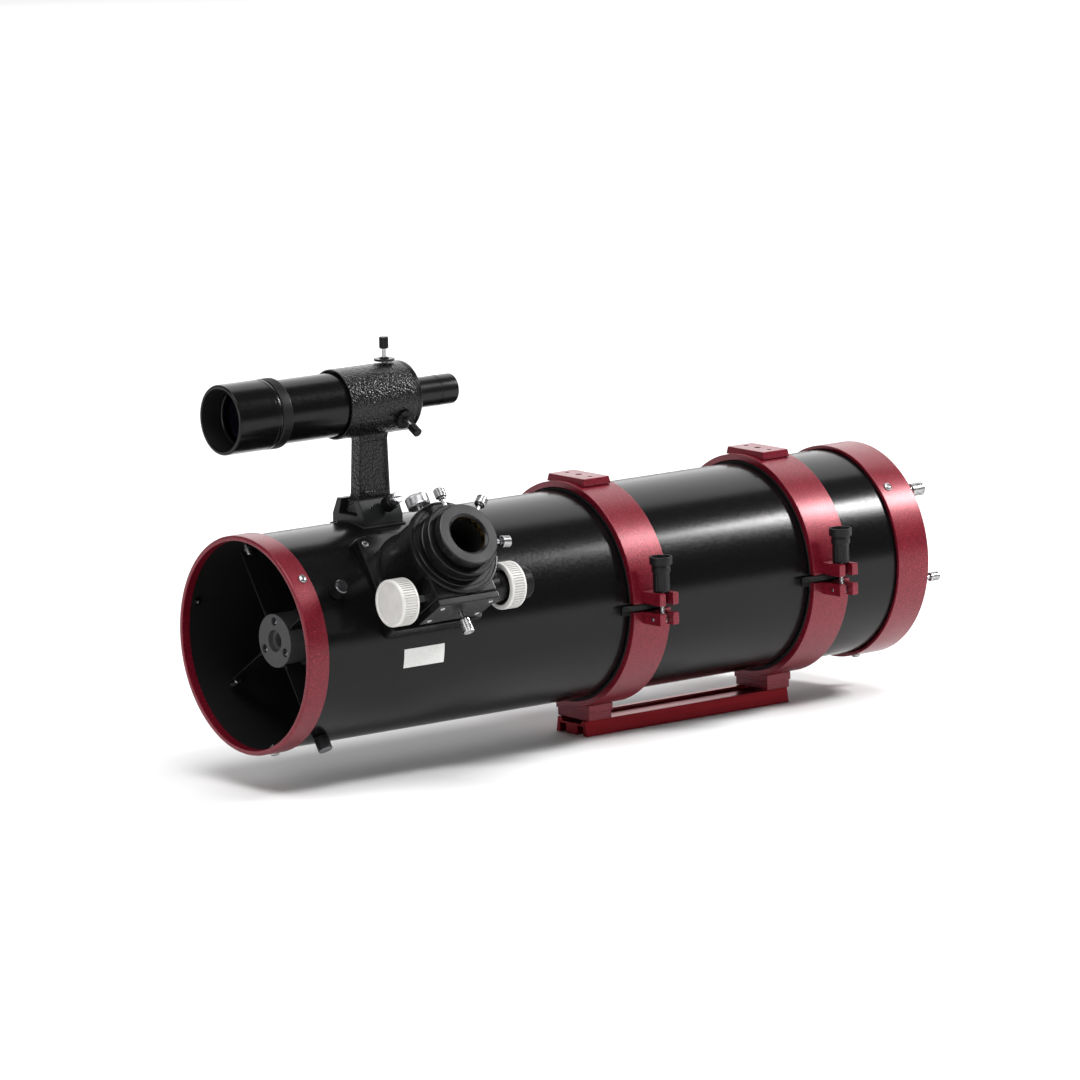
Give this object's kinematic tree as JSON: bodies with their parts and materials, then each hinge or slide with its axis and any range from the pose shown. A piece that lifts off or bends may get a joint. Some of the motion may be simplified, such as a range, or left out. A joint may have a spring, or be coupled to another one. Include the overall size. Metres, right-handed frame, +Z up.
{
  "type": "newtonian reflector telescope",
  "caption": "Reflector optical tube with side focuser, straight finder on a stalk, hinged tube rings and a dovetail bar",
  "frame": {"origin": "middle of the dovetail bar's bottom face", "axes": "+X along the tube to the mirror end, -Y the focuser side, +Z up to the finder"},
  "size_m": [0.7185, 0.2742, 0.3694],
  "materials": {
    "crimson": "crimson metallic powder coat with a fine orange-peel grain",
    "bar_red": "dark red anodised extrusion",
    "gloss_black_paint": "deep gloss black paint with a slight orange peel",
    "satin_black": "satin black anodised, bright on machined edges",
    "matt_black": "matt black",
    "hammered_black": "hammered black paint",
    "black_plastic": "black moulded plastic",
    "white_knob": "white satin, fine ribs round the rim",
    "chrome": "bright plated, knurled",
    "steel": "plain turned steel",
    "mirror_coating": "aluminised optical surface",
    "coated_lens": "lens with a blue anti-reflection coating",
    "rubber": "black rubber ring"
  },
  "bodies": {
    "ring_base": {"dovetail_bar": "bar_red", "ring_lower_front": "crimson", "ring_lower_rear": "crimson", "hinge_pin_front": "steel", "hinge_pin_rear": "steel", "clamp_pin_front": "steel", "clamp_pin_rear": "steel"},
    "ring_top_front": {"ring_upper_front": "crimson"},
    "ring_top_rear": {"ring_upper_rear": "crimson"},
    "clamp_bolt_front": {"clamp_bolt_front": "steel"},
    "clamp_bolt_rear": {"clamp_bolt_rear": "steel"},
    "clamp_knob_front": {"clamp_knob_front": "black_plastic"},
    "clamp_knob_rear": {"clamp_knob_rear": "black_plastic"},
    "tube": {"tube": "gloss_black_paint", "front_ring": "crimson", "rear_ring": "crimson", "spider": "matt_black", "focuser_base": "satin_black", "roller_block": "satin_black", "finder_shoe": "satin_black"},
    "secondary_stem": {"secondary_bolt": "steel"},
    "secondary": {"secondary_holder": "matt_black", "secondary_mirror": "mirror_coating"},
    "primary": {"mirror_cell": "matt_black", "primary_mirror": "mirror_coating"},
    "drawtube": {"drawtube": "satin_black"},
    "eyepiece_adapter": {"eyepiece_adapter": "satin_black"},
    "coarse_drive": {"focus_axle": "steel", "coarse_knob_left": "white_knob", "coarse_knob_right": "white_knob"},
    "finder_bracket": {"finder_bracket": "hammered_black"},
    "finder_o_ring": {"finder_o_ring": "rubber"},
    "finder_scope": {"finder_tube": "gloss_black_paint", "finder_eyepiece": "gloss_black_paint"},
    "finder_objective": {"finder_objective_cell": "gloss_black_paint", "finder_lens": "coated_lens"},
    "spider_knob_1": {"spider_knob_1": "black_plastic"},
    "spider_knob_2": {"spider_knob_2": "black_plastic"},
    "spider_knob_3": {"spider_knob_3": "black_plastic"},
    "spider_knob_4": {"spider_knob_4": "black_plastic"},
    "secondary_screw_1": {"secondary_screw_1": "steel"},
    "secondary_screw_2": {"secondary_screw_2": "steel"},
    "secondary_screw_3": {"secondary_screw_3": "steel"},
    "collimation_knob_1": {"collimation_knob_1": "chrome"},
    "collimation_knob_2": {"collimation_knob_2": "chrome"},
    "collimation_knob_3": {"collimation_knob_3": "chrome"},
    "cell_lock_screw_1": {"cell_lock_screw_1": "chrome"},
    "cell_lock_screw_2": {"cell_lock_screw_2": "chrome"},
    "cell_lock_screw_3": {"cell_lock_screw_3": "chrome"},
    "fine_knob": {"fine_knob": "black_plastic"},
    "focus_lock_knob": {"focus_lock_knob": "chrome"},
    "focus_tension_screw": {"focus_tension_screw": "chrome"},
    "drawtube_screw_1": {"drawtube_screw_1": "chrome"},
    "drawtube_screw_2": {"drawtube_screw_2": "chrome"},
    "adapter_screw": {"adapter_screw": "chrome"},
    "shoe_screw": {"shoe_screw": "black_plastic"},
    "bracket_screw_1": {"bracket_screw_1": "chrome"},
    "bracket_screw_2": {"bracket_screw_2": "chrome"},
    "bracket_screw_3": {"bracket_screw_3": "chrome"},
    "finder_lock_ring": {"finder_lock_ring": "gloss_black_paint"}
  },
  "joints": [
    {"name": "tube_turn", "type": "hinge", "parent": "ring_base", "child": "tube", "pos_m": [0, 0, 0.12386], "axis": [1, 0, 0], "continuous": true},
    {"name": "ring_front_open", "type": "hinge", "parent": "ring_base", "child": "ring_top_front", "pos_m": [-0.0986, 0.1045, 0.12386], "axis": [-1, 0, 0], "range_deg": [0, 100]},
    {"name": "clamp_bolt_front_swing", "type": "hinge", "parent": "ring_base", "child": "clamp_bolt_front", "pos_m": [-0.0986, -0.1115, 0.11436], "axis": [1, 0, 0], "range_deg": [0, 36]},
    {"name": "clamp_knob_front_turn", "type": "hinge", "parent": "ring_top_front", "child": "clamp_knob_front", "pos_m": [-0.0986, -0.1115, 0.13766], "axis": [0, 0, 1], "continuous": true},
    {"name": "ring_rear_open", "type": "hinge", "parent": "ring_base", "child": "ring_top_rear", "pos_m": [0.1014, 0.1045, 0.12386], "axis": [-1, 0, 0], "range_deg": [0, 100]},
    {"name": "clamp_bolt_rear_swing", "type": "hinge", "parent": "ring_base", "child": "clamp_bolt_rear", "pos_m": [0.1014, -0.1115, 0.11436], "axis": [1, 0, 0], "range_deg": [0, 36]},
    {"name": "clamp_knob_rear_turn", "type": "hinge", "parent": "ring_top_rear", "child": "clamp_knob_rear", "pos_m": [0.1014, -0.1115, 0.13766], "axis": [0, 0, 1], "continuous": true},
    {"name": "spider_knob_1_turn", "type": "hinge", "parent": "tube", "child": "spider_knob_1", "pos_m": [-0.4186, -0.07657, 0.17359], "axis": [0, -0.8387, 0.5446], "continuous": true},
    {"name": "spider_knob_2_turn", "type": "hinge", "parent": "tube", "child": "spider_knob_2", "pos_m": [-0.4186, 0.04973, 0.20043], "axis": [0, 0.5446, 0.8387], "continuous": true},
    {"name": "spider_knob_3_turn", "type": "hinge", "parent": "tube", "child": "spider_knob_3", "pos_m": [-0.4186, 0.07657, 0.07413], "axis": [0, 0.8387, -0.5446], "continuous": true},
    {"name": "spider_knob_4_turn", "type": "hinge", "parent": "tube", "child": "spider_knob_4", "pos_m": [-0.4186, -0.04973, 0.04729], "axis": [0, -0.5446, -0.8387], "continuous": true},
    {"name": "secondary_rotate", "type": "hinge", "parent": "tube", "child": "secondary_stem", "pos_m": [-0.4096, 0, 0.12386], "axis": [1, 0, 0], "range_deg": [-12, 12]},
    {"name": "secondary_tilt", "type": "hinge", "parent": "secondary_stem", "child": "secondary", "pos_m": [-0.3956, 0, 0.12386], "axis": [0, 1, 0], "range_deg": [-2, 2]},
    {"name": "secondary_screw_1_turn", "type": "hinge", "parent": "tube", "child": "secondary_screw_1", "pos_m": [-0.4241, 0, 0.14056], "axis": [1, 0, 0], "continuous": true},
    {"name": "secondary_screw_2_turn", "type": "hinge", "parent": "tube", "child": "secondary_screw_2", "pos_m": [-0.4241, 0.01446, 0.11551], "axis": [1, 0, 0], "continuous": true},
    {"name": "secondary_screw_3_turn", "type": "hinge", "parent": "tube", "child": "secondary_screw_3", "pos_m": [-0.4241, -0.01446, 0.11551], "axis": [1, 0, 0], "continuous": true},
    {"name": "primary_tilt", "type": "hinge", "parent": "tube", "child": "primary", "pos_m": [0.19515, 0, 0.12386], "axis": [0, 1, 0], "range_deg": [-0.8, 0.8]},
    {"name": "collimation_knob_1_turn", "type": "hinge", "parent": "tube", "child": "collimation_knob_1", "pos_m": [0.21645, -0.05551, 0.17937], "axis": [1, 0, 0], "continuous": true},
    {"name": "collimation_knob_2_turn", "type": "hinge", "parent": "tube", "child": "collimation_knob_2", "pos_m": [0.21645, 0.07583, 0.14418], "axis": [1, 0, 0], "continuous": true},
    {"name": "collimation_knob_3_turn", "type": "hinge", "parent": "tube", "child": "collimation_knob_3", "pos_m": [0.21645, -0.02032, 0.04804], "axis": [1, 0, 0], "continuous": true},
    {"name": "cell_lock_screw_1_turn", "type": "hinge", "parent": "tube", "child": "cell_lock_screw_1", "pos_m": [0.21645, 0.02032, 0.19969], "axis": [1, 0, 0], "continuous": true},
    {"name": "cell_lock_screw_2_turn", "type": "hinge", "parent": "tube", "child": "cell_lock_screw_2", "pos_m": [0.21645, 0.05551, 0.06835], "axis": [1, 0, 0], "continuous": true},
    {"name": "cell_lock_screw_3_turn", "type": "hinge", "parent": "tube", "child": "cell_lock_screw_3", "pos_m": [0.21645, -0.07583, 0.10354], "axis": [1, 0, 0], "continuous": true},
    {"name": "drawtube_slide", "type": "slide", "parent": "tube", "child": "drawtube", "axis": [0, -0.8374, 0.5465], "range_m": [0, 0.035]},
    {"name": "coarse_focus", "type": "hinge", "parent": "tube", "child": "coarse_drive", "pos_m": [-0.3321, -0.12958, 0.16866], "axis": [1, 0, 0], "range_deg": [0, 670]},
    {"name": "fine_focus", "type": "hinge", "parent": "tube", "child": "fine_knob", "pos_m": [-0.3321, -0.12958, 0.16866], "axis": [1, 0, 0], "range_deg": [0, 6700]},
    {"name": "focus_lock_knob_turn", "type": "hinge", "parent": "tube", "child": "focus_lock_knob", "pos_m": [-0.3321, -0.08209, 0.23594], "axis": [0, 0.5465, 0.8374], "continuous": true},
    {"name": "focus_tension_screw_turn", "type": "hinge", "parent": "tube", "child": "focus_tension_screw", "pos_m": [-0.3321, -0.13986, 0.14743], "axis": [0, -0.5465, -0.8374], "continuous": true},
    {"name": "drawtube_screw_1_turn", "type": "hinge", "parent": "drawtube", "child": "drawtube_screw_1", "pos_m": [-0.3321, -0.11774, 0.24023], "axis": [0, 0.5465, 0.8374], "continuous": true},
    {"name": "drawtube_screw_2_turn", "type": "hinge", "parent": "drawtube", "child": "drawtube_screw_2", "pos_m": [-0.29925, -0.13804, 0.20913], "axis": [0.9925, -0.0666, -0.1021], "continuous": true},
    {"name": "adapter_slide", "type": "slide", "parent": "drawtube", "child": "eyepiece_adapter", "axis": [0, -0.8374, 0.5465], "range_m": [0, 0.024]},
    {"name": "adapter_screw_turn", "type": "hinge", "parent": "eyepiece_adapter", "child": "adapter_screw", "pos_m": [-0.31237, -0.13434, 0.2351], "axis": [0.7071, 0.3865, 0.5922], "continuous": true},
    {"name": "finder_slide", "type": "slide", "parent": "tube", "child": "finder_bracket", "axis": [-1, 0, 0], "range_m": [0, 0.04]},
    {"name": "shoe_screw_turn", "type": "hinge", "parent": "tube", "child": "shoe_screw", "pos_m": [-0.3226, -0.02271, 0.22947], "axis": [0, -0.878, 0.4787], "continuous": true},
    {"name": "finder_pitch", "type": "hinge", "parent": "finder_bracket", "child": "finder_o_ring", "pos_m": [-0.3556, 0, 0.31736], "axis": [0, 1, 0], "range_deg": [-1, 1]},
    {"name": "finder_yaw", "type": "hinge", "parent": "finder_o_ring", "child": "finder_scope", "pos_m": [-0.3556, 0, 0.31736], "axis": [0, 0, 1], "range_deg": [-1, 1]},
    {"name": "bracket_screw_1_turn", "type": "hinge", "parent": "finder_bracket", "child": "bracket_screw_1", "pos_m": [-0.304, 0, 0.34886], "axis": [0, 0, 1], "continuous": true},
    {"name": "bracket_screw_2_turn", "type": "hinge", "parent": "finder_bracket", "child": "bracket_screw_2", "pos_m": [-0.304, 0.02728, 0.30161], "axis": [0, 0.866, -0.5], "continuous": true},
    {"name": "bracket_screw_3_turn", "type": "hinge", "parent": "finder_bracket", "child": "bracket_screw_3", "pos_m": [-0.304, -0.02728, 0.30161], "axis": [0, -0.866, -0.5], "continuous": true},
    {"name": "finder_focus", "type": "hinge", "parent": "finder_scope", "child": "finder_objective", "pos_m": [-0.4596, 0, 0.31736], "axis": [1, 0, 0], "continuous": true},
    {"name": "finder_lock_ring_turn", "type": "hinge", "parent": "finder_scope", "child": "finder_lock_ring", "pos_m": [-0.4266, 0, 0.31736], "axis": [1, 0, 0], "continuous": true}
  ],
  "couplings": [
    {"joint": "coarse_focus", "follows": "drawtube_slide", "rad_per_m": 333.33},
    {"joint": "fine_focus", "follows": "drawtube_slide", "rad_per_m": 3333.3},
    {"joint": "clamp_bolt_front_swing", "follows": "ring_front_open", "ratio": 0.35},
    {"joint": "clamp_bolt_rear_swing", "follows": "ring_rear_open", "ratio": 0.35}
  ]
}
